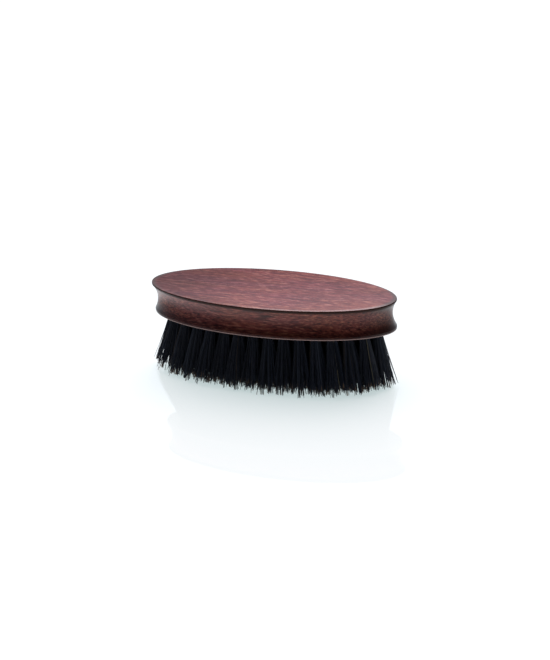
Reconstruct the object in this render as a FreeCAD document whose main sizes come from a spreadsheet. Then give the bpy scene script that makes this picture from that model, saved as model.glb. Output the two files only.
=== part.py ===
import FreeCAD, Part
import math
import os

import Sketcher
from FreeCAD import Placement, Rotation, Vector

# Oval beard brush, in millimetres, +Z up. It stands on the bristle tips of its inner tufts: the
# origin is the middle of their tip plane, +X runs along the block and the flat back faces up. The
# block is one piece of hardwood with a coved side. Each hole in its lower face holds one tuft, a
# bundle of boar bristle folded in half round a flat wire anchor, which is driven across the hole
# and bites into the wood.

SIZES = {
    "block_length": 100.0,
    "block_width": 38.0,
    "block_thickness": 12.3,
    "cove_depth": 1.8,  # depth of the hollow round the side, at its waist
    "top_land": 0.6,  # upright band between the back and the hollow
    "base_land": 1.3,  # upright band between the hollow and the lower face
    "base_inset": 0.5,  # how far the lower rim stands in from the upper one
    "top_round": 0.35,
    "base_round": 0.6,
    "cutter_overrun": 1.0,  # how far the cove's cutter runs past the wood
    "bristle_length": 23.5,  # from the lower face to the tip plane
    "outer_rise": 1.8,  # how much higher the outer ring's tips are trimmed
    "trim_allowance": 3.0,  # bristle that is trimmed off level after filling
    "tuft_tip_diameter": 5.0,
    "tuft_clearance": 0.05,  # round a tuft in its hole
    "fold_thickness": 0.9,  # bristle between an anchor and the blind end of the hole
    "hole_diameter": 3.2,
    "hole_depth": 7.0,
    "end_to_ring": 8.1,  # from the block's outline to the outer ring of holes, at the block's ends
    "side_to_ring": 6.2,  # the same at its sides
    "ring_spacing": 6.3,  # from the outer ring of holes to the inner one, at their ends
    "inner_ring_bias": 0.1,  # at the sides, the inner ring is this far outside the middle of its gap
    "row_end_gap": 11.2,  # from the inner ring's end to the centre row's last hole
    "wire_thickness": 0.35,
    "wire_height": 1.6,
    "wire_bite": 0.35,  # how far each end of an anchor bites into the wood
    "wire_clearance": 0.05,  # round an anchor in its tuft
    "wire_turn": 35.0,  # degrees from the block's length, so that the anchors don't split it
    "end_fan": 12.0,  # degrees that the tufts at the block's ends lean outwards
    "side_fan": 8.0,  # degrees that the tufts at its sides lean outwards
    "outer_count": 30,
    "inner_count": 24,
    "centre_count": 9,
}

doc = FreeCAD.newDocument("beard_brush")


def make_sheet():
    sheet = doc.addObject("Spreadsheet::Sheet", "sizes")
    for row, (name, value) in enumerate(SIZES.items(), start=1):
        sheet.set(f"A{row}", name)
        sheet.set(f"B{row}", str(value))
        sheet.setAlias(f"B{row}", name)
    doc.recompute()
    return sheet


sheet = make_sheet()


def size(name):
    return float(sheet.get(name))


def bind(item, **expressions):
    for prop, expression in expressions.items():
        item.setExpression(prop, expression)
    return item


def origin_plane(body, role):
    return next(feature for feature in body.Origin.OriginFeatures if feature.Role == role)


def add_sketch(body, name, role):
    sketch = body.newObject("Sketcher::SketchObject", name)
    sketch.AttachmentSupport = (origin_plane(body, role), [""])
    sketch.MapMode = "FlatFace"
    return sketch


def dimension(sketch, name, expression, *constraint):
    """Adds a named dimension to the sketch and binds it to the sheet."""
    index = sketch.addConstraint(Sketcher.Constraint(*constraint))
    sketch.renameConstraint(index, name)
    sketch.setExpression(f"Constraints.{name}", expression)


# ---------------------------------------------------------------- block


def outline_sketch(body):
    sketch = add_sketch(body, "outline", "XY_Plane")
    half_length = size("block_length") / 2
    half_width = size("block_width") / 2
    ellipse = Part.Ellipse(Vector(half_length, 0, 0), Vector(0, half_width, 0), Vector(0, 0, 0))
    sketch.addGeometry(ellipse, False)
    sketch.exposeInternalGeometry(0)
    sketch.addConstraint(Sketcher.Constraint("Coincident", 0, 3, -1, 1))
    sketch.addConstraint(Sketcher.Constraint("Horizontal", 1))
    dimension(sketch, "length", "sizes.block_length", "Distance", 1, size("block_length"))
    dimension(sketch, "width", "sizes.block_width", "Distance", 2, size("block_width"))
    return sketch


def cove_sketch(body):
    """Section of the cove's cutter at the +X end: the hollow's arc, closed outside the wood."""
    sketch = add_sketch(body, "cove_section", "XZ_Plane")
    rim = size("block_length") / 2
    top = size("block_thickness") - size("top_land")
    base = size("base_land")
    over = size("cutter_overrun")
    inset = rim - size("base_inset")
    waist = rim - size("cove_depth")
    outside = rim + over

    def point(x, y):
        return Vector(x, y, 0)

    upper = point(rim, top)
    lower = point(inset, base)
    arc = Part.Arc(upper, point(waist, (top + base) / 2), lower)
    corners = [lower, point(inset, -over), point(outside, -over), point(outside, top), upper]
    sketch.addGeometry(arc, False)
    for start, end in zip(corners, corners[1:]):
        sketch.addGeometry(Part.LineSegment(start, end), False)
    # An upright line that touches the arc fixes the depth of its waist.
    sketch.addGeometry(Part.LineSegment(point(waist, base), point(waist, top)), True)

    # Part.Arc may run either way round, so its ends are told apart by height.
    upper_end = 1 if sketch.getPoint(0, 1).y > sketch.getPoint(0, 2).y else 2
    lower_end = 3 - upper_end
    rules = [
        ("Coincident", 0, lower_end, 1, 1),
        ("Coincident", 1, 2, 2, 1),
        ("Coincident", 2, 2, 3, 1),
        ("Coincident", 3, 2, 4, 1),
        ("Coincident", 4, 2, 0, upper_end),
        ("Vertical", 1),
        ("Horizontal", 2),
        ("Vertical", 3),
        ("Horizontal", 4),
        ("Vertical", 5),
        ("Tangent", 0, 5),
    ]
    for rule in rules:
        sketch.addConstraint(Sketcher.Constraint(*rule))
    half = "sizes.block_length / 2"
    hollow_top = "sizes.block_thickness - sizes.top_land"
    dimension(sketch, "rim", half, "DistanceX", -1, 1, 4, 2, rim)
    dimension(sketch, "hollow_top", hollow_top, "DistanceY", -1, 1, 4, 2, top)
    dimension(sketch, "base_rim", f"{half} - sizes.base_inset", "DistanceX", -1, 1, 1, 1, inset)
    dimension(sketch, "hollow_base", "sizes.base_land", "DistanceY", -1, 1, 1, 1, base)
    dimension(sketch, "outside", f"{half} + sizes.cutter_overrun", "DistanceX", -1, 1, 3, 1, outside)
    dimension(sketch, "below", "sizes.cutter_overrun", "DistanceY", 1, 2, -1, 1, over)
    dimension(sketch, "waist", f"{half} - sizes.cove_depth", "DistanceX", -1, 1, 5, 1, waist)
    dimension(sketch, "waist_base", "sizes.base_land", "DistanceY", -1, 1, 5, 1, base)
    dimension(sketch, "waist_top", hollow_top, "DistanceY", -1, 1, 5, 2, top)
    return sketch


def rim_edges(shape, height):
    """Names of the edges that lie flat at the given height."""
    names = []
    for number, edge in enumerate(shape.Edges, start=1):
        if all(abs(point.z - height) < 1e-4 for point in edge.discretize(7)):
            names.append(f"Edge{number}")
    return names


def round_rim(body, name, height, radius):
    base = body.Tip
    fillet = body.newObject("PartDesign::Fillet", name)
    fillet.Base = (base, rim_edges(base.Shape, height))
    fillet.setExpression("Radius", radius)
    body.Tip = fillet
    doc.recompute()


def make_blank():
    body = doc.addObject("PartDesign::Body", "blank")
    outline = outline_sketch(body)
    pad = body.newObject("PartDesign::Pad", "board")
    pad.Profile = outline
    bind(pad, Length="sizes.block_thickness")
    doc.recompute()

    cove = body.newObject("PartDesign::SubtractivePipe", "side_cove")
    cove.Profile = cove_sketch(body)
    cove.Spine = (outline, ["Edge1"])
    cove.Mode = "Binormal"
    cove.Binormal = Vector(0, 0, 1)
    body.Tip = cove
    doc.recompute()

    round_rim(body, "top_arris", size("block_thickness"), "sizes.top_round")
    round_rim(body, "base_arris", 0.0, "sizes.base_round")
    body.Placement = Placement(Vector(0, 0, size("bristle_length")), Rotation())
    return body


# ---------------------------------------------------------------- where the holes are

outer_x = size("block_length") / 2 - size("end_to_ring")
outer_y = size("block_width") / 2 - size("side_to_ring")
inner_x = outer_x - size("ring_spacing")
inner_y = outer_y / 2 + size("inner_ring_bias")
row_end = inner_x - size("row_end_gap")


def ring(half_x, half_y, count):
    """Points at equal steps round an ellipse, starting at its +X end."""
    ellipse = Part.Ellipse(Vector(half_x, 0, 0), Vector(0, half_y, 0), Vector(0, 0, 0))
    return ellipse.toShape().discretize(Number=count + 1)[:-1]


def row(end, count):
    step = 2 * end / (count - 1)
    return [Vector(number * step - end, 0, 0) for number in range(count)]


def hole_placement(spot):
    """A hole's frame: its origin is in the lower face, and its +Z runs up the leaning hole."""
    lean_x = math.tan(math.radians(size("end_fan"))) * spot.x / outer_x
    lean_y = math.tan(math.radians(size("side_fan"))) * spot.y / outer_y
    tilt = Rotation(Vector(0, 0, 1), Vector(-lean_x, -lean_y, 1))
    return Placement(Vector(spot.x, spot.y, size("bristle_length")), tilt)


# ---------------------------------------------------------------- tools, anchors and tufts


def make_drill(hole, name):
    """The hole's cutter, which starts below the lower face so that the mouth is clean."""
    drill = doc.addObject("Part::Cylinder", name)
    bind(drill, Radius="sizes.hole_diameter / 2", Height="sizes.hole_depth + sizes.cutter_overrun")
    drill.Placement = hole * Placement(Vector(0, 0, -size("cutter_overrun")), Rotation())
    return drill


def wire_placement(hole, length, thickness, height):
    """Centres a box of the given size on the anchor's place across the hole."""
    turn = Placement(Vector(0, 0, 0), Rotation(Vector(0, 0, 1), size("wire_turn")))
    middle = size("hole_depth") - size("fold_thickness") - size("wire_height") / 2
    corner = Vector(-length / 2, -thickness / 2, middle - height / 2)
    return hole * turn * Placement(corner, Rotation())


def make_anchor(hole, name):
    anchor = doc.addObject("Part::Box", name)
    bind(
        anchor,
        Length="sizes.hole_diameter + 2 * sizes.wire_bite",
        Width="sizes.wire_thickness",
        Height="sizes.wire_height",
    )
    length = size("hole_diameter") + 2 * size("wire_bite")
    anchor.Placement = wire_placement(hole, length, size("wire_thickness"), size("wire_height"))
    return anchor


def make_eye(hole, name):
    """The room that the folded bristle leaves for its anchor, right through the tuft."""
    eye = doc.addObject("Part::Box", name)
    bind(
        eye,
        Length="sizes.hole_diameter + 2 * sizes.wire_bite",
        Width="sizes.wire_thickness + 2 * sizes.wire_clearance",
        Height="sizes.wire_height + 2 * sizes.wire_clearance",
    )
    length = size("hole_diameter") + 2 * size("wire_bite")
    thickness = size("wire_thickness") + 2 * size("wire_clearance")
    height = size("wire_height") + 2 * size("wire_clearance")
    eye.Placement = wire_placement(hole, length, thickness, height)
    return eye


def make_tuft(hole, name, cutter):
    """A flared bundle and its shank in the hole, trimmed level, with the anchor's eye."""
    root_radius = "sizes.hole_diameter / 2 - sizes.tuft_clearance"
    bundle = doc.addObject("Part::Cone", f"{name}_bundle")
    bind(
        bundle,
        Radius1="sizes.tuft_tip_diameter / 2",
        Radius2=root_radius,
        Height="sizes.bristle_length + sizes.trim_allowance",
    )
    blank_length = size("bristle_length") + size("trim_allowance")
    bundle.Placement = hole * Placement(Vector(0, 0, -blank_length), Rotation())

    shank = doc.addObject("Part::Cylinder", f"{name}_shank")
    bind(shank, Radius=root_radius, Height="sizes.hole_depth - sizes.tuft_clearance")
    shank.Placement = hole

    whole = doc.addObject("Part::MultiFuse", f"{name}_whole")
    whole.Shapes = [bundle, shank]
    trimmed = doc.addObject("Part::Cut", f"{name}_trimmed")
    trimmed.Base = whole
    trimmed.Tool = cutter
    tuft = doc.addObject("Part::Cut", name)
    tuft.Base = trimmed
    tuft.Tool = make_eye(hole, f"{name}_eye")
    return tuft


def make_trimmer(name, depth):
    """A slab under the brush, whose top trims tufts level."""
    trimmer = doc.addObject("Part::Box", name)
    bind(
        trimmer,
        Length="sizes.block_length + 2 * sizes.bristle_length",
        Width="sizes.block_width + 2 * sizes.bristle_length",
        Height=depth,
    )
    half_x = size("block_length") / 2 + size("bristle_length")
    half_y = size("block_width") / 2 + size("bristle_length")
    bottom = -2 * size("trim_allowance")
    trimmer.Placement = Placement(Vector(-half_x, -half_y, bottom), Rotation())
    return trimmer


def group(items, name):
    compound = doc.addObject("Part::Compound", name)
    compound.Links = items
    return compound


# ---------------------------------------------------------------- the brush

spots = {
    "outer": ring(outer_x, outer_y, int(size("outer_count"))),
    "inner": ring(inner_x, inner_y, int(size("inner_count"))),
    "centre": row(row_end, int(size("centre_count"))),
}
inner_trimmer = make_trimmer("inner_trimmer", "2 * sizes.trim_allowance")
outer_trimmer = make_trimmer("outer_trimmer", "2 * sizes.trim_allowance + sizes.outer_rise")
drills = []
tufts = {}
anchors = {}
for place, points in spots.items():
    trimmer = outer_trimmer if place == "outer" else inner_trimmer
    tufts[place] = []
    anchors[place] = []
    for number, spot in enumerate(points, start=1):
        hole = hole_placement(spot)
        drills.append(make_drill(hole, f"drill_{place}_{number:02d}"))
        tufts[place].append(make_tuft(hole, f"tuft_{place}_{number:02d}", trimmer))
        anchors[place].append(make_anchor(hole, f"anchor_{place}_{number:02d}"))

drilled = doc.addObject("Part::Cut", "drilled_blank")
drilled.Base = make_blank()
drilled.Tool = group(drills, "drills")
block = doc.addObject("Part::Cut", "block")
block.Base = drilled
block.Tool = group([wire for wires in anchors.values() for wire in wires], "all_anchors")

sub_parts = [block]
sub_parts += tufts["outer"]
sub_parts += tufts["inner"]
sub_parts.append(group(tufts["centre"], "tufts_centre_row"))
sub_parts.append(group(anchors["outer"], "anchors_outer_ring"))
sub_parts.append(group(anchors["inner"], "anchors_inner_ring"))
sub_parts.append(group(anchors["centre"], "anchors_centre_row"))
for part in sub_parts:
    part.Label = part.Name
doc.recompute()

for item in doc.Objects:
    if "Invalid" in item.State or "Error" in item.State:
        raise RuntimeError(f"{item.Label} did not build: {item.State}")
for part in sub_parts:
    if part.Shape.isNull() or not part.Shape.isValid() or not part.Shape.Solids:
        raise RuntimeError(f"{part.Label} has no valid solid")

os.makedirs("parts", exist_ok=True)
for part in sub_parts:
    part.Shape.exportStep(f"parts/{part.Label}.step")
    solids = len(part.Shape.Solids)
    print(f"{part.Label}: {solids} solid(s), {part.Shape.Volume:.1f} mm3")
print(f"{len(sub_parts)} sub-parts")
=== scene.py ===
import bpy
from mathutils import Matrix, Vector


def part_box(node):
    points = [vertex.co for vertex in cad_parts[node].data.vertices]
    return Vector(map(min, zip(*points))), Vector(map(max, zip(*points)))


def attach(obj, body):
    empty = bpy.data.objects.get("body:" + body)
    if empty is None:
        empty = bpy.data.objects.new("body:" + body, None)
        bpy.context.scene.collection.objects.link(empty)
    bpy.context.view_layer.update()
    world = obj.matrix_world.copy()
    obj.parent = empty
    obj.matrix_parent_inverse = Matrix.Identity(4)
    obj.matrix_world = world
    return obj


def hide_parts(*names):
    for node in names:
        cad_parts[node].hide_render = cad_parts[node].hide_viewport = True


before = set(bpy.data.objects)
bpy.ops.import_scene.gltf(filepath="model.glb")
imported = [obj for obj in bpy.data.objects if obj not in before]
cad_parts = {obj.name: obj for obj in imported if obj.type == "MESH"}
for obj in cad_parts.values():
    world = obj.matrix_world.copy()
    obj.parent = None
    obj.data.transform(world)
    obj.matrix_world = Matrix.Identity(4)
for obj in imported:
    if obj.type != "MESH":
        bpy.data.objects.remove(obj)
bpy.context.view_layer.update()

from math import cos, pi, radians, sin

import bmesh
import bpy
from mathutils import Matrix, Vector

mm = 0.001


# node helpers: socket sums, and one way to add any other node

class Socket:
    # wraps an output socket, so that shader and field maths reads as plain sums
    def __init__(self, kit, socket):
        self.kit = kit
        self.socket = socket

    def __add__(self, other):
        return self.kit.sum("ADD", self, other)

    def __radd__(self, other):
        return self.kit.sum("ADD", other, self)

    def __sub__(self, other):
        return self.kit.sum("SUBTRACT", self, other)

    def __rsub__(self, other):
        return self.kit.sum("SUBTRACT", other, self)

    def __mul__(self, other):
        return self.kit.sum("MULTIPLY", self, other)

    def __rmul__(self, other):
        return self.kit.sum("MULTIPLY", other, self)

    def __truediv__(self, other):
        return self.kit.sum("DIVIDE", self, other)

    def __rtruediv__(self, other):
        return self.kit.sum("DIVIDE", other, self)

    def __pow__(self, other):
        return self.kit.sum("POWER", self, other)

    def __rpow__(self, other):
        return self.kit.sum("POWER", other, self)


def isVector(value):
    if isinstance(value, Socket):
        return value.socket.type == "VECTOR"
    return isinstance(value, (tuple, Vector))


class NodeKit:
    def __init__(self, tree):
        self.tree = tree

    def add(self, kind, settings=None, inputs=None, out=0):
        node = self.tree.nodes.new(kind)
        for name, value in (settings or {}).items():
            setattr(node, name, value)
        for key, value in (inputs or {}).items():
            self.feed(node.inputs[key], value)
        return Socket(self, node.outputs[out]) if node.outputs else node

    def feed(self, socket, value):
        if isinstance(value, Socket):
            self.tree.links.new(value.socket, socket)
        else:
            socket.default_value = value

    def sum(self, operation, a, b):
        if not (isVector(a) or isVector(b)):
            return self.add("ShaderNodeMath", {"operation": operation}, {0: a, 1: b})
        if operation == "MULTIPLY" and not isVector(b):
            return self.add("ShaderNodeVectorMath", {"operation": "SCALE"}, {0: a, 3: b})
        if operation == "MULTIPLY" and not isVector(a):
            return self.add("ShaderNodeVectorMath", {"operation": "SCALE"}, {0: b, 3: a})
        return self.add("ShaderNodeVectorMath", {"operation": operation}, {0: a, 1: b})

    def maths(self, operation, *values):
        return self.add("ShaderNodeMath", {"operation": operation}, dict(enumerate(values)))

    def vector(self, x=0.0, y=0.0, z=0.0):
        return self.add("ShaderNodeCombineXYZ", None, {"X": x, "Y": y, "Z": z})

    def parts(self, vector):
        node = self.tree.nodes.new("ShaderNodeSeparateXYZ")
        self.feed(node.inputs[0], vector)
        return [Socket(self, socket) for socket in node.outputs]

    def mix(self, factor, a, b):  # two numbers
        return self.add("ShaderNodeMix", {"data_type": "FLOAT"}, {0: factor, 2: a, 3: b}, out=0)

    def mixVector(self, factor, a, b):
        return self.add("ShaderNodeMix", {"data_type": "VECTOR"}, {0: factor, 4: a, 5: b}, out=1)

    def mixColour(self, factor, a, b, blend="MIX"):
        settings = {"data_type": "RGBA", "blend_type": blend}
        return self.add("ShaderNodeMix", settings, {0: factor, 6: a, 7: b}, out=2)

    def spread(self, value, low, high, toLow=0.0, toHigh=1.0):  # low to high becomes toLow to toHigh
        settings = {"interpolation_type": "SMOOTHSTEP"}
        return self.add("ShaderNodeMapRange", settings, {0: value, 1: low, 2: high, 3: toLow, 4: toHigh})

    def noise(self, vector, scale=1.0, detail=3.0, roughness=0.5, distortion=0.0):
        inputs = {"Vector": vector, "Scale": scale, "Detail": detail, "Roughness": roughness,
                  "Distortion": distortion}
        return self.add("ShaderNodeTexNoise", None, inputs)

    def dim(self, tint, share):  # a colour times a share
        return self.mixColour(1.0, tint, self.vector(share, share, share), "MULTIPLY")


def colour(red, green, blue):
    return (red, green, blue, 1.0)


def newMaterial(name):
    material = bpy.data.materials.new(name)
    material.use_nodes = True
    material.node_tree.nodes.clear()
    return material, NodeKit(material.node_tree)


def finishMaterial(kit, surface):
    kit.add("ShaderNodeOutputMaterial", None, {"Surface": surface})


# camera: a long lens, low over the brush and a little to its right

cameraSettings = {
    "azimuth": 24.56,  # degrees from the brush's front
    "elevation": 23.31,
    "roll": -4.41,
    "distance": 0.8,
    "lens": 114.0,
    "sensor": 36.0,
    "nearest": 10 * mm,
    "aimHeight": 18.76 * mm,
}


def makeCamera(settings):
    azimuth = radians(settings["azimuth"])
    elevation = radians(settings["elevation"])
    roll = radians(settings["roll"])
    back = Vector((sin(azimuth) * cos(elevation), -cos(azimuth) * cos(elevation), sin(elevation)))
    level = Vector((cos(azimuth), sin(azimuth), 0))
    up = back.cross(level)
    right = level * cos(roll) + up * sin(roll)
    up = back.cross(right)
    data = bpy.data.cameras.new("camera")
    data.lens = settings["lens"]
    data.sensor_width = settings["sensor"]
    data.clip_start = settings["nearest"]
    camera = bpy.data.objects.new("camera", data)
    place = Vector((0, 0, settings["aimHeight"])) + back * settings["distance"]
    turn = Matrix((right, up, back)).transposed().to_4x4()
    camera.matrix_world = Matrix.Translation(place) @ turn
    bpy.context.scene.collection.objects.link(camera)
    bpy.context.scene.camera = camera
    return back


towardsCamera = makeCamera(cameraSettings)
print("camera placed")


# studio: white room behind and above, dim on the camera's side, pale glossy floor

studioSettings = {
    "backLight": 0.75,
    "frontLight": 0.06,
    "lightTurn": (-0.25, 0.45),  # from the back light to the front one, as a cosine to the camera
    "roomTint": colour(0.88, 0.94, 1.06),
    "backdrop": colour(1.0, 1.0, 1.0),
    "sunStrength": 2.3,
    "sunAngle": 70.0,  # degrees, so its shadow is very soft
    "sunHeight": 70.0,
    "sunAzimuth": 190.0,
    "floorSize": 8.0,
    "floorTints": (colour(0.51, 0.43, 0.425), colour(0.53, 0.45, 0.445)),
    "floorHaze": 9.0,  # scale of the change between the two tints
    "floorRoughness": (0.02, 0.035),
    "floorIor": 2.0,
    "floorGlow": 1.0,  # the table is lit from below too
    "floorGlowTint": colour(0.495, 0.585, 0.59),
}


def makeRoom(settings, world):
    world.use_nodes = True
    world.node_tree.nodes.clear()
    kit = NodeKit(world.node_tree)
    direction = kit.add("ShaderNodeTexCoord", out="Generated")
    flat = Vector((towardsCamera.x, towardsCamera.y, 0)).normalized()
    product = {"operation": "DOT_PRODUCT"}
    facing = kit.add("ShaderNodeVectorMath", product, {0: direction, 1: flat}, out="Value")
    strength = kit.spread(facing, *settings["lightTurn"], settings["backLight"], settings["frontLight"])
    lit = kit.add("ShaderNodeBackground", None, {"Color": settings["roomTint"], "Strength": strength})
    seen = kit.add("ShaderNodeBackground", None, {"Color": settings["backdrop"], "Strength": 1.0})
    cameraRay = kit.add("ShaderNodeLightPath", out="Is Camera Ray")
    surface = kit.add("ShaderNodeMixShader", None, {0: cameraRay, 1: lit, 2: seen})
    kit.add("ShaderNodeOutputWorld", None, {"Surface": surface})


def makeSun(settings):
    data = bpy.data.lights.new("softbox", "SUN")
    data.energy = settings["sunStrength"]
    data.angle = radians(settings["sunAngle"])
    sun = bpy.data.objects.new("softbox", data)
    azimuth = radians(settings["sunAzimuth"])
    height = radians(settings["sunHeight"])
    towardsSun = Vector((sin(azimuth) * cos(height), -cos(azimuth) * cos(height), sin(height)))
    sun.rotation_euler = towardsSun.to_track_quat("Z", "Y").to_euler()
    bpy.context.scene.collection.objects.link(sun)


def makeFloor(settings):
    material, kit = newMaterial("pale_floor")
    haze = kit.noise(kit.add("ShaderNodeTexCoord", out="Object"), settings["floorHaze"])
    surface = kit.add("ShaderNodeBsdfPrincipled", None, {
        "Base Color": kit.mixColour(haze, *settings["floorTints"]),
        "Roughness": kit.mix(haze, *settings["floorRoughness"]),
        "IOR": settings["floorIor"],
        "Emission Color": settings["floorGlowTint"],
        "Emission Strength": settings["floorGlow"],
    })
    finishMaterial(kit, surface)
    half = settings["floorSize"] / 2
    corners = [(-half, -half, 0), (half, -half, 0), (half, half, 0), (-half, half, 0)]
    mesh = bpy.data.meshes.new("floor")
    mesh.from_pydata(corners, [], [(0, 1, 2, 3)])
    mesh.materials.append(material)
    floor = bpy.data.objects.new("floor", mesh)
    bpy.context.scene.collection.objects.link(floor)


bpy.context.scene.view_settings.view_transform = "Standard"
bpy.context.scene.world = bpy.data.worlds.new("studio")
makeRoom(studioSettings, bpy.context.scene.world)
makeSun(studioSettings)
makeFloor(studioSettings)
print("studio lit")


# the block: stained and lacquered beech, with painted shade and sheen on its top and side

woodSettings = {
    "deepStain": colour(0.128, 0.021, 0.022),
    "warmStain": colour(0.270, 0.058, 0.052),
    "fleckLight": colour(0.60, 0.24, 0.18),
    "fleckDark": colour(0.045, 0.008, 0.012),
    "brownTint": colour(1.03, 1.03, 0.92),
    "purpleTint": colour(0.96, 0.94, 1.22),
    "sideShade": colour(0.66, 0.68, 0.56),  # the side takes the stain browner and darker
    "blotchShade": colour(0.5, 0.45, 0.38),
    "figureShade": colour(0.2, 0.16, 0.14),
    # nearly black, for the band under the top rim and round the ends
    "underRimDark": colour(0.020, 0.006, 0.004),
    # pale edge colour: a painted highlight on the top arris, and a pale line on the base arris
    "paleEdge": colour(0.60, 0.42, 0.40),
    # the grain runs with the brush's length: each noise's stretch along x, y and z in 1/m, its
    # shift, detail, roughness and distortion
    "broad": ((14, 110, 110), 0, 3.0, 0.6, 0.4),
    "grain": ((90, 800, 800), 0, 4.0, 0.7, 0.3),
    "flecks": ((300, 2000, 2000), 7, 2.0, 0.6, 0.0),
    "streaks": ((45, 1500, 1500), 9, 2.0, 0.6, 0.0),
    "pores": ((800, 3000, 3000), 3, 2.0, 0.6, 0.0),
    "hue": ((18, 120, 120), 5, 3.0, 0.6, 0.0),
    "blotch": ((55, 55, 160), 0, 4.0, 0.7, 0.8),
    "figure": ((42, 42, 300), 1.7, 3.0, 0.6, 0.0),
    "knot": ((200, 200, 900), 0, 2.0, 0.6, 0.0),
    # a noise's values where its mark starts and where it is full
    "toneRange": (0.33, 0.68),
    "lightRange": (0.50, 0.64),
    "darkRange": (0.49, 0.37),
    "poreRange": (0.40, 0.28),
    "hueRange": (0.34, 0.66),
    "blotchRange": (0.36, 0.60),
    "figureRange": (0.60, 0.70),
    "knotRange": (0.44, 0.52),
    # how strong a mark is
    "grainShare": 0.65,  # of the tone, the rest is broad bands
    "fleckShare": 0.7,  # of the dashes, the rest is streaks
    "lightFlecks": (0.50, -0.06),  # on top, and what the side adds to it
    "darkFlecks": (0.52, 0.38),
    "poreDepth": 0.35,
    "figureDepth": 0.5,
    "knotDepth": 0.95,
    "rimDepth": 0.97,
    "endRimDepth": 0.85,
    "topArrisHighlight": (0.12, 0.5),  # of the top arris's painted highlight: everywhere, and what the front right adds to it
    "paleBaseLine": 0.4,
    # depths under the back where a mark starts and where it is full
    "sideBand": (0.15 * mm, 0.9 * mm),
    "rimBand": (1.9 * mm, 1.1 * mm),
    "rimTopBand": (0.05 * mm, 0.2 * mm),
    "topArrisHighlightBand": (0.2 * mm, 0.05 * mm),
    "knotLowBand": (6.5 * mm, 4.5 * mm),
    "knotHighBand": (1.4 * mm, 2.2 * mm),
    "clearOfRimBand": (1.0 * mm, 1.9 * mm),
    "clearOfTopBand": (0.02 * mm, 0.1 * mm),
    # the same as heights over the lower face
    "paleBaseBand": (0.72 * mm, 0.4 * mm),
    "lowerFaceBand": (0.0, 0.04 * mm),
    # painted shade just above the base round
    "baseRoundBand": (3.4 * mm, 2.2 * mm),
    "baseRoundPaintedShade": 0.62,
    "coveLow": 1.0 * mm,  # the cove's painted shade and light run from this height
    "coveHigh": 2.5 * mm,  # to this depth under the back
    "paintedCoveShade": (0.54, 1.35),
    "coveEnd": (0.55, 0.7),  # its painted shade deepens from this share of half the length, and ends this dark at the +X end
    # places in shares of half the length or half the width
    # the top's painted shade towards the -X end and painted sheen towards the front
    "topShadeEnd": 0.15,
    "topPaintedShade": 0.50,
    "topSheenBand": (0.3, -0.8),
    "topPaintedSheen": 1.18,
    "endRimAlong": (0.78, 0.96),
    "endRimOut": (0.95, 0.985),  # shares of the way from the middle to the outline
    "topArrisHighlightOut": (0.945, 0.985),
    # places from the middle
    "knotPlace": 5.5 * mm,
    "knotAcross": (6 * mm, 2 * mm),
    "frontRightY": (-3 * mm, -9 * mm),
    "frontRightX": (-14 * mm, 16 * mm),
    # lacquer
    "topShine": 0.32,
    "topShineSlope": (6.5, 14.0),  # towards +X and towards the front, per metre
    "endShine": 0.4,
    "endShineAlong": (0.74, 0.98),
    "coveShine": (0.58, 0.45),  # from the -X end to the +X one
    "coveShineAlong": (-0.6, 0.2),
    "coveShineLow": 4.5 * mm,
    "coveShineHigh": 3.5 * mm,
    "roughness": 0.30,
    "roughnessDip": 0.06,
    "roughnessRise": 0.10,
    "specular": 0.1,
    "coatRoughness": 0.28,
    "bumpStrength": 0.3,
    "bumpHeight": 0.05 * mm,
    "poreBump": 0.6,  # of the bump, the rest is grain
}


class WoodPlaces:
    # coordinates on the block, the wood's own noises, and bands measured from its faces
    def __init__(self, kit, settings):
        self.kit = kit
        self.settings = settings
        self.low, self.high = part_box("block")
        self.x, self.y, self.z = kit.parts(kit.add("ShaderNodeTexCoord", out="Object"))
        self.fromMiddle = kit.maths("ABSOLUTE", self.x)
        self.outwards = ((self.x / self.high.x) ** 2.0 + (self.y / self.high.y) ** 2.0) ** 0.5

    def noise(self, name):
        stretch, shift, detail, roughness, distortion = self.settings[name]
        place = self.kit.vector(self.x * stretch[0] + shift, self.y * stretch[1], self.z * stretch[2])
        return self.kit.noise(place, 1.0, detail, roughness, distortion)

    def marks(self, noise, name):
        return self.kit.spread(noise, *self.settings[name])

    def under(self, name):
        near, far = self.settings[name]
        return self.kit.spread(self.z, self.high.z - near, self.high.z - far)

    def over(self, name, toLow=0.0, toHigh=1.0):
        near, far = self.settings[name]
        return self.kit.spread(self.z, self.low.z + near, self.low.z + far, toLow, toHigh)

    def along(self, name, value, toLow=0.0, toHigh=1.0):  # in shares of half the length
        near, far = self.settings[name]
        return self.kit.spread(value, near * self.high.x, far * self.high.x, toLow, toHigh)


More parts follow.
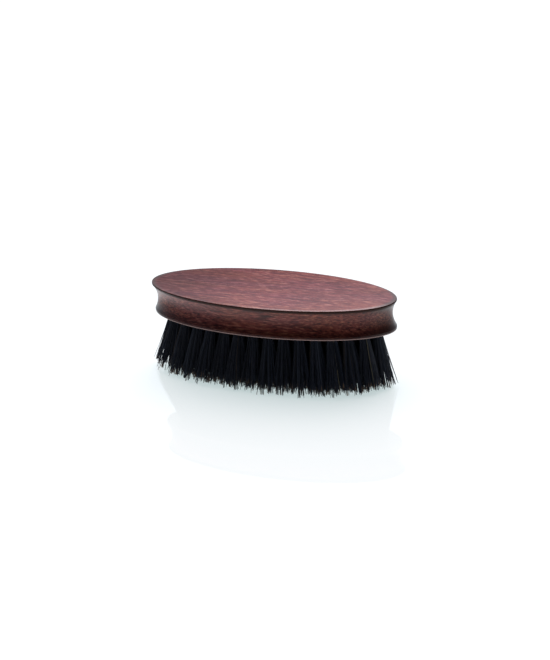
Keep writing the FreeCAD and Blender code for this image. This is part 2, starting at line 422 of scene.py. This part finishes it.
def stainTopAndPaintLight(kit, wood, settings, grain, pores, onSide):
    share = settings["grainShare"]
    tone = wood.noise("broad") * (1 - share) + grain * share
    woodColour = kit.mixColour(wood.marks(tone, "toneRange"), settings["deepStain"], settings["warmStain"])
    share = settings["fleckShare"]
    dashes = wood.noise("flecks") * share + wood.noise("streaks") * (1 - share)
    onTop, more = settings["lightFlecks"]
    light = wood.marks(dashes, "lightRange") * (onTop + onSide * more)
    woodColour = kit.mixColour(light, woodColour, settings["fleckLight"])
    onTop, more = settings["darkFlecks"]
    dark = wood.marks(dashes, "darkRange") * (onTop + onSide * more)
    woodColour = kit.mixColour(dark, woodColour, settings["fleckDark"])
    hue = wood.marks(wood.noise("hue"), "hueRange")
    tint = kit.mixColour(hue, settings["purpleTint"], settings["brownTint"])
    woodColour = kit.mixColour(1.0, woodColour, tint, "MULTIPLY")
    pitted = wood.marks(pores, "poreRange") * settings["poreDepth"]
    woodColour = kit.mixColour(pitted, woodColour, settings["fleckDark"])
    # painted shade darkens the top towards the -X end, and painted sheen lightens it towards the front
    paintedTopLight = kit.spread(wood.x, wood.low.x, settings["topShadeEnd"] * wood.high.x, settings["topPaintedShade"], 1.0)
    back, front = settings["topSheenBand"]
    paintedTopLight = paintedTopLight * kit.spread(wood.y, back * wood.high.y, front * wood.high.y, 1.0, settings["topPaintedSheen"])
    return kit.dim(woodColour, kit.mix(onSide, paintedTopLight, 1.0))


def stainSideAndPaintShade(kit, wood, settings, woodColour):
    # browner, blotched, with a few streaky dark figures and a knot
    blotch = wood.marks(wood.noise("blotch"), "blotchRange")
    figure = wood.marks(wood.noise("figure"), "figureRange") * settings["figureDepth"]
    knot = kit.spread(kit.maths("ABSOLUTE", wood.x - settings["knotPlace"]), *settings["knotAcross"])
    knot = knot * wood.marks(wood.noise("knot"), "knotRange")
    knot = knot * wood.under("knotLowBand") * wood.under("knotHighBand")
    shade = kit.mixColour(blotch, settings["blotchShade"], settings["sideShade"])
    dark = kit.maths("MAXIMUM", figure, knot * settings["knotDepth"])
    shade = kit.mixColour(dark, shade, settings["figureShade"])
    side = kit.mixColour(1.0, woodColour, shade, "MULTIPLY")
    # painted shade and light: the cove darker towards its low flank and lighter towards its high one,
    # darker towards the +X end and just above the base round
    low = wood.low.z + settings["coveLow"]
    high = wood.high.z - settings["coveHigh"]
    endFrom, endShade = settings["coveEnd"]
    paintedShade = kit.spread(wood.z, low, high, *settings["paintedCoveShade"])
    paintedShade = paintedShade * kit.spread(wood.x, endFrom * wood.high.x, wood.high.x, 1.0, endShade)
    paintedShade = paintedShade * wood.over("baseRoundBand", 1.0, settings["baseRoundPaintedShade"])
    return kit.dim(side, paintedShade)


def markEdgesAndPaintHighlight(kit, wood, settings, woodColour):
    # a nearly black band is painted under the top rim and round the ends' outline, the top arris gets a
    # painted highlight, strongest at the front right, and a pale line runs along the base arris
    rim = wood.under("rimBand") * wood.under("rimTopBand")
    woodColour = kit.mixColour(rim * settings["rimDepth"], woodColour, settings["underRimDark"])
    endRim = wood.marks(wood.outwards, "endRimOut") * wood.along("endRimAlong", wood.fromMiddle)
    woodColour = kit.mixColour(endRim * settings["endRimDepth"], woodColour, settings["underRimDark"])
    frontRight = wood.marks(wood.y, "frontRightY") * wood.marks(wood.x, "frontRightX")
    everywhere, more = settings["topArrisHighlight"]
    # painted highlight along the top arris, strongest at the front right
    topArris = wood.marks(wood.outwards, "topArrisHighlightOut") * wood.under("topArrisHighlightBand")
    topArris = topArris * (everywhere + frontRight * more)
    # a pale line along the base arris
    baseArris = wood.over("paleBaseBand") * wood.over("lowerFaceBand") * settings["paleBaseLine"]
    return kit.mixColour(topArris + baseArris, woodColour, settings["paleEdge"])


def lacquer(kit, wood, settings):
    # glossier towards the front and the +X end, and round the ends of the side
    right, front = settings["topShineSlope"]
    shine = settings["topShine"] + wood.x * right - wood.y * front
    shine = kit.maths("MINIMUM", kit.maths("MAXIMUM", shine, 0.0), 1.0)
    endShine = wood.along("endShineAlong", wood.fromMiddle) * settings["endShine"]
    low = wood.low.z + settings["coveShineLow"]
    high = wood.high.z - settings["coveShineHigh"]
    coveShine = kit.spread(wood.z, low, high)
    coveShine = coveShine * wood.along("coveShineAlong", wood.x, *settings["coveShine"])
    sideShine = (endShine + coveShine) * wood.under("clearOfRimBand")
    return kit.mix(wood.under("clearOfTopBand"), shine, sideShine)


def makeWood(settings):
    material, kit = newMaterial("stained_beech")
    wood = WoodPlaces(kit, settings)
    grain = wood.noise("grain")
    pores = wood.noise("pores")
    onSide = wood.under("sideBand")
    woodColour = stainTopAndPaintLight(kit, wood, settings, grain, pores, onSide)
    woodColour = kit.mixColour(onSide, woodColour, stainSideAndPaintShade(kit, wood, settings, woodColour))
    bump = kit.add("ShaderNodeBump", None, {
        "Strength": settings["bumpStrength"],
        "Distance": settings["bumpHeight"],
        "Height": pores * settings["poreBump"] + grain * (1 - settings["poreBump"]),
    })
    rougher = settings["roughness"] + settings["roughnessRise"]
    surface = kit.add("ShaderNodeBsdfPrincipled", None, {
        "Base Color": markEdgesAndPaintHighlight(kit, wood, settings, woodColour),
        "Roughness": kit.mix(grain, settings["roughness"] - settings["roughnessDip"], rougher),
        "Normal": bump,
        "Specular IOR Level": settings["specular"],
        "Coat Weight": lacquer(kit, wood, settings),
        "Coat Roughness": settings["coatRoughness"],
    })
    finishMaterial(kit, surface)
    return material


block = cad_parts["block"]
block.data.materials.clear()
block.data.materials.append(makeWood(woodSettings))
print("block stained")


# anchors: drawn wire, driven across the holes

anchorSettings = {
    "bright": colour(0.55, 0.53, 0.50),
    "dull": colour(0.33, 0.31, 0.28),
    "drawLines": (3000, 9000),  # scale across the brush, and up it
    "tarnish": 400,
    "roughness": (0.28, 0.45),
    "bumpStrength": 0.2,
    "bumpHeight": 0.01 * mm,
}


def makeWireMetal(settings):
    material, kit = newMaterial("drawn_wire")
    x, y, z = kit.parts(kit.add("ShaderNodeTexCoord", out="Object"))
    flat, upright = settings["drawLines"]
    drawLines = kit.noise(kit.vector(x * flat, y * flat, z * upright), roughness=0.6)
    scale = settings["tarnish"]
    tarnish = kit.noise(kit.vector(x * scale, y * scale, z * scale))
    bump = kit.add("ShaderNodeBump", None, {
        "Strength": settings["bumpStrength"],
        "Distance": settings["bumpHeight"],
        "Height": drawLines,
    })
    surface = kit.add("ShaderNodeBsdfPrincipled", None, {
        "Base Color": kit.mixColour(tarnish, settings["bright"], settings["dull"]),
        "Metallic": 1.0,
        "Roughness": kit.mix(drawLines, *settings["roughness"]),
        "Normal": bump,
    })
    finishMaterial(kit, surface)
    return material


wireMetal = makeWireMetal(anchorSettings)
for name in ("anchors_outer_ring", "anchors_inner_ring", "anchors_centre_row"):
    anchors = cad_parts[name]
    anchors.data.materials.clear()
    anchors.data.materials.append(wireMetal)
print("anchors finished")


# bristles: black boar, one tree for every tuft

bristleSettings = {
    "tuft": {  # the tree's inputs
        "Bristles per Tuft": 230,
        "Root Radius": 1.42 * mm,
        "Tip Radius": 4.2 * mm,
        "Bristle Radius": 0.105 * mm,
        "Tip Thickness": 0.8,  # share of the bristle's radius left at its tip
        "Taper Start": 0.35,  # share of the way down
        "Root Depth": 1.5 * mm,  # how far the visible bristle starts inside its hole
        "Clump Size": 0.62,  # in tip radii
        "Clump Pull": 0.48,
        "Least Pull": 0.45,  # each bristle's share of the pull, at least and at most
        "Most Pull": 1.15,
        "Left Pull": 1.7,  # how many times stronger the pull is at the -X end
        "Left Pull From": -28 * mm,
        "Left Pull To": -42 * mm,
        "Clump Raggedness": 2.0 * mm,
        "Clump Evenness": 1.5,  # the higher, the fewer clumps are short
        "Raggedness": 2.2 * mm,
        "Evenness": 2.5,  # the higher, the fewer bristles are short
        "Overhang": 1.3 * mm,  # the longest bristles reach this far past the trim
        "Bow": 0.8 * mm,
        "Bow Turn": 1.25,  # half waves over the bristle's length
        "Lean": -1.1 * mm,  # the whole comb of tips leans towards -X
        "End Lean": -1.6 * mm,  # and more so at the +X end
        "End Lean From": 28 * mm,
        "End Lean To": 42 * mm,
        "End Trim": 1.3 * mm,  # the tufts at the -X end are this much shorter
        "End Trim From": -30 * mm,
        "End Trim To": -41 * mm,
        "Stray Share": 0.03,
        "Stray Reach": 3.2 * mm,
        "Least Reach": 0.4,  # a stray's share of the reach, at least
        "Right Reach": 0.35,  # share of the reach left at the +X end
        "Right Reach From": -20 * mm,
        "Right Reach To": 20 * mm,
        "Floor Gap": 0.12 * mm,  # the lowest that a bristle's middle line comes
        "Tuft Step": 7.3,  # keeps one tuft's clumps apart from the next one's
        "Seed": 11,
    },
    "boar": {
        # the blue in these colours is painted sheen, and the lighter bristles are partly their own tone and
        # partly painted sheen streaks
        "darkest": colour(0.0024, 0.0037, 0.0115),
        "lightest": colour(0.0210, 0.0275, 0.0500),
        "darkness": 3.0,  # the higher, the more bristles are dark
        "brown": colour(0.030, 0.017, 0.010),
        "brownColumns": 22.5,  # the first columns of the map are brown
        "ivory": colour(0.11, 0.095, 0.06),
        "ivoryColumns": 2.5,  # and the very first are ivory
        "brownTip": colour(0.22, 0.13, 0.075),
        "tipBand": (0.88, 0.98),  # shares of the way down
        "tipDraw": (0.6, 0.95),  # draws from here on have a brown tip
        "glossChange": (3.7, 14),  # from column to column, and along the bristle
        "roughness": (0.34, 0.5),
        "specular": 0.25,
    },
}
bristlePoints = 5
bristleSides = 3
bakeColumns = 160  # bristles share this many colours, one for each column of their map
bakeMargin = 0.1  # of a column, at its sides
bakeEnds = 0.01  # of the map, above and below


def newTree(name, inputs):
    tree = bpy.data.node_groups.new(name, "GeometryNodeTree")
    tree.interface.new_socket("Geometry", in_out="INPUT", socket_type="NodeSocketGeometry")
    tree.interface.new_socket("Geometry", in_out="OUTPUT", socket_type="NodeSocketGeometry")
    for label, value in inputs.items():
        kind = "NodeSocketInt" if isinstance(value, int) else "NodeSocketFloat"
        tree.interface.new_socket(label, in_out="INPUT", socket_type=kind)
    return tree


def bristleTree(settings, material):
    tree = newTree("bristle_tuft", settings)
    kit = NodeKit(tree)
    source = tree.nodes.new("NodeGroupInput")
    given = {socket.name: Socket(kit, socket) for socket in source.outputs if socket.name}

    seeds = iter(range(100))

    def chance(low=0.0, high=1.0):
        inputs = {"Seed": given["Seed"] + next(seeds), 2: low, 3: high}
        return kit.add("FunctionNodeRandomValue", {"data_type": "FLOAT"}, inputs, out=1)

    def place(name, toLow=0.0, toHigh=1.0):  # eases along the brush, between two named places
        return kit.spread(mouthX, given[name + " From"], given[name + " To"], toLow, toHigh)

    def remember(geometry, name, value, kind="FLOAT", domain="POINT"):
        kinds = {"data_type": kind, "domain": domain}
        return kit.add("GeometryNodeStoreNamedAttribute", kinds, {0: geometry, 2: name, 3: value})

    def recall(name, kind="FLOAT"):
        return kit.add("GeometryNodeInputNamedAttribute", {"data_type": kind}, {0: name})

    # a point for each bristle, at its tuft's mouth
    points = kit.add("GeometryNodeMeshToPoints", None, {0: given["Geometry"]})
    points = kit.add("GeometryNodeDuplicateElements", {"domain": "POINT"},
                     {0: points, "Amount": given["Bristles per Tuft"]})
    mouth = kit.add("GeometryNodeInputPosition")
    mouthX = kit.parts(mouth)[0]
    reach = recall("reach", "FLOAT_VECTOR")
    angle = chance(0, 2 * pi)
    radius = chance() ** 0.5
    disk = kit.vector(kit.maths("COSINE", angle) * radius, kit.maths("SINE", angle) * radius)

    # tips draw together in clumps, each trimmed a little differently
    cell = kit.tree.nodes.new("ShaderNodeTexVoronoi")
    cell.voronoi_dimensions = "3D"
    kit.feed(cell.inputs["Scale"], 1.0)
    spot = disk / kit.vector(given["Clump Size"], given["Clump Size"], 1.0)
    kit.feed(cell.inputs["Vector"], spot + kit.vector(z=recall("tuft") * given["Tuft Step"]))
    centre = Socket(kit, cell.outputs["Position"])
    clumpSpot = centre * kit.vector(given["Clump Size"], given["Clump Size"], 0.0)
    clumpChance = kit.add("ShaderNodeTexWhiteNoise", {"noise_dimensions": "3D"},
                          {"Vector": centre}, out="Value")
    pull = given["Clump Pull"] * chance(given["Least Pull"], given["Most Pull"])
    pull = pull * place("Left Pull", 1.0, given["Left Pull"])
    tipDisk = kit.mixVector(pull, disk, clumpSpot)

    stray = kit.maths("LESS_THAN", chance(), given["Stray Share"])
    strayReach = given["Stray Reach"] * stray * chance(given["Least Reach"], 1.0)
    strayReach = strayReach * place("Right Reach", 1.0, given["Right Reach"])
    short = given["Clump Raggedness"] * clumpChance ** given["Clump Evenness"]
    short = short + given["Raggedness"] * chance() ** given["Evenness"]
    lean = given["Lean"] + given["End Lean"] * place("End Lean")
    endTrim = given["End Trim"] * place("End Trim")
    trim = kit.vector(lean, 0.0, short + endTrim - given["Overhang"])
    tip = mouth + reach + tipDisk * given["Tip Radius"] + disk * strayReach + trim
    start = mouth + disk * given["Root Radius"]
    inward = kit.add("ShaderNodeVectorMath", {"operation": "NORMALIZE"}, {0: reach}) * given["Root Depth"]
    bowAngle = chance(0, 2 * pi)
    bowSize = given["Bow"] * chance(-1, 1)
    bow = kit.vector(kit.maths("COSINE", bowAngle) * bowSize, kit.maths("SINE", bowAngle) * bowSize)
    points = remember(points, "start", start - inward, "FLOAT_VECTOR")
    points = remember(points, "tip", tip, "FLOAT_VECTOR")
    points = remember(points, "bow", bow, "FLOAT_VECTOR")
    column = kit.maths("FLOOR", chance() ** 0.5 * (bakeColumns - 0.01))  # the first ones are rare
    points = remember(points, "column", column)

    # each point becomes a line, bent to its own route
    line = kit.add("GeometryNodeCurvePrimitiveLine", None, {"End": (0.0, 0.0, 1.0)})
    line = kit.add("GeometryNodeResampleCurve", None, {0: line, "Count": bristlePoints})
    origins = kit.add("GeometryNodeSetPosition", None, {0: points, "Position": (0.0, 0.0, 0.0)})
    lines = kit.add("GeometryNodeInstanceOnPoints", None, {0: origins, "Instance": line})
    lines = kit.add("GeometryNodeRealizeInstances", None, {0: lines})
    along = kit.add("GeometryNodeSplineParameter")
    route = kit.mixVector(along, recall("start", "FLOAT_VECTOR"), recall("tip", "FLOAT_VECTOR"))
    sway = kit.maths("SINE", along * (given["Bow Turn"] * pi)) * along
    route = route + recall("bow", "FLOAT_VECTOR") * sway
    routeX, routeY, routeZ = kit.parts(route)
    route = kit.vector(routeX, routeY, kit.maths("MAXIMUM", routeZ, given["Floor Gap"]))
    lines = kit.add("GeometryNodeSetPosition", None, {0: lines, "Position": route})
    lines = remember(lines, "along", along)

    # skin: tapering, with a map that holds column and height
    section = kit.add("GeometryNodeCurvePrimitiveCircle", None, {"Resolution": bristleSides, "Radius": 1.0})
    section = remember(section, "around", kit.add("GeometryNodeSplineParameter"))
    towardsTip = kit.spread(along, given["Taper Start"], 1.0)
    taper = given["Bristle Radius"] * kit.mix(towardsTip, 1.0, given["Tip Thickness"])
    skin = kit.add("GeometryNodeCurveToMesh", None,
                   {0: lines, 1: section, "Scale": taper, "Fill Caps": True})
    across = (recall("column") + bakeMargin + recall("around") * (1 - 2 * bakeMargin)) / bakeColumns
    bakeMap = kit.vector(across, recall("along") * (1 - 2 * bakeEnds) + bakeEnds)
    skin = remember(skin, "OFBake", bakeMap, "FLOAT2", "CORNER")
    for name in ("start", "tip", "bow", "column", "around", "along", "reach", "tuft"):
        skin = kit.add("GeometryNodeRemoveAttribute", None, {0: skin, "Name": name})
    skin = kit.add("GeometryNodeSetShadeSmooth", None, {0: skin, "Shade Smooth": True})
    skin = kit.add("GeometryNodeRealizeInstances", None, {0: skin})
    skin = kit.add("GeometryNodeSetMaterial", None, {0: skin, "Material": material})
    kit.tree.links.new(skin.socket, tree.nodes.new("NodeGroupOutput").inputs[0])
    return tree


def makeBristleBlack(settings):
    material, kit = newMaterial("black_boar")
    across, along = kit.parts(kit.add("ShaderNodeUVMap", {"uv_map": "OFBake"}))[:2]
    column = kit.maths("FLOOR", across * bakeColumns)
    half = column + 0.5  # the middle of the column, for a steady draw
    own = kit.add("ShaderNodeTexWhiteNoise", {"noise_dimensions": "1D"}, {"W": half}, out="Value")
    second = kit.add("ShaderNodeTexWhiteNoise", {"noise_dimensions": "1D"}, {"W": half + 200}, out="Value")
    # painted sheen: the bluish tint and the lighter bristles
    body = kit.mixColour(own ** settings["darkness"], settings["darkest"], settings["lightest"])
    brown = kit.maths("LESS_THAN", column, settings["brownColumns"])
    body = kit.mixColour(brown, body, settings["brown"])
    brownTip = kit.spread(along, *settings["tipBand"]) * kit.spread(second, *settings["tipDraw"])
    body = kit.mixColour(brownTip, body, settings["brownTip"])
    ivory = kit.maths("LESS_THAN", column, settings["ivoryColumns"])
    body = kit.mixColour(ivory, body, settings["ivory"])
    byColumn, byHeight = settings["glossChange"]
    gloss = kit.noise(kit.vector(column * byColumn, along * byHeight))
    surface = kit.add("ShaderNodeBsdfPrincipled", None, {
        "Base Color": body,
        "Roughness": kit.mix(gloss, *settings["roughness"]),
        "Specular IOR Level": settings["specular"],
    })
    finishMaterial(kit, surface)
    return material


weldDistance = 0.001 * mm
tipSlice = 0.05 * mm  # a shell's points this near its lowest are its tips
rootSlice = 1.2 * mm  # and these are its folded root


def looseShells(mesh):
    # the separate closed shells of one node's mesh, as lists of corner positions
    shells = []
    work = bmesh.new()
    work.from_mesh(mesh)
    bmesh.ops.remove_doubles(work, verts=work.verts, dist=weldDistance)
    seen = set()
    for first in work.verts:
        if first in seen:
            continue
        seen.add(first)
        shell = []
        queue = [first]
        while queue:
            vertex = queue.pop()
            shell.append(vertex.co.copy())
            for edge in vertex.link_edges:
                other = edge.other_vert(vertex)
                if other not in seen:
                    seen.add(other)
                    queue.append(other)
        shells.append(shell)
    work.free()
    return sorted(shells, key=lambda shell: (shell[0].x, shell[0].y))


def middle(points):
    xs = [point.x for point in points]
    ys = [point.y for point in points]
    zs = [point.z for point in points]
    return Vector(((min(xs) + max(xs)) / 2, (min(ys) + max(ys)) / 2, (min(zs) + max(zs)) / 2))


def tuftLine(shell, mouthHeight):
    # where the tuft leaves the block, and from there to the middle of its tips
    lowest = min(point.z for point in shell)
    highest = max(point.z for point in shell)
    tip = middle([point for point in shell if point.z < lowest + tipSlice])
    root = middle([point for point in shell if point.z > highest - rootSlice])
    axis = tip - root
    mouth = root + axis * ((mouthHeight - root.z) / axis.z)
    return mouth, tip - mouth


def growBristles(pieceName, nodeNames, tree, settings, seedShift):
    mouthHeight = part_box("block")[0].z
    lines = []
    for nodeName in nodeNames:
        for shell in looseShells(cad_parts[nodeName].data):
            lines.append(tuftLine(shell, mouthHeight))
    mesh = bpy.data.meshes.new(pieceName)
    mesh.from_pydata([mouth for mouth, reach in lines], [], [])
    mesh.attributes.new("reach", "FLOAT_VECTOR", "POINT")
    mesh.attributes.new("tuft", "FLOAT", "POINT")
    for index, (mouth, reach) in enumerate(lines):
        mesh.attributes["reach"].data[index].vector = reach
        mesh.attributes["tuft"].data[index].value = index + seedShift
    piece = bpy.data.objects.new(pieceName, mesh)
    bpy.context.scene.collection.objects.link(piece)
    modifier = piece.modifiers.new("bristles", "NODES")
    modifier.node_group = tree
    values = dict(settings, Seed=settings["Seed"] + seedShift)
    for item in tree.interface.items_tree:
        if item.in_out == "INPUT" and item.name in values:
            modifier[item.identifier] = values[item.name]
    graph = bpy.context.evaluated_depsgraph_get()
    grown = bpy.data.meshes.new_from_object(piece.evaluated_get(graph), depsgraph=graph)
    piece.modifiers.clear()
    piece.data = grown
    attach(piece, "root")
    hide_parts(*nodeNames)
    print(pieceName, "has", len(lines), "tufts and", len(grown.polygons), "faces")


bristleBlack = makeBristleBlack(bristleSettings["boar"])
tuftSettings = bristleSettings["tuft"]
tuftTree = bristleTree(tuftSettings, bristleBlack)
outerNodes = sorted(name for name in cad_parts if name.startswith("tuft_outer"))
innerNodes = sorted(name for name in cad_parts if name.startswith("tuft_inner"))
growBristles("bristles_outer_ring", outerNodes, tuftTree, tuftSettings, 0)
growBristles("bristles_inner_ring", innerNodes, tuftTree, tuftSettings, 100)
growBristles("bristles_centre_row", ["tufts_centre_row"], tuftTree, tuftSettings, 200)
print("bristles grown")
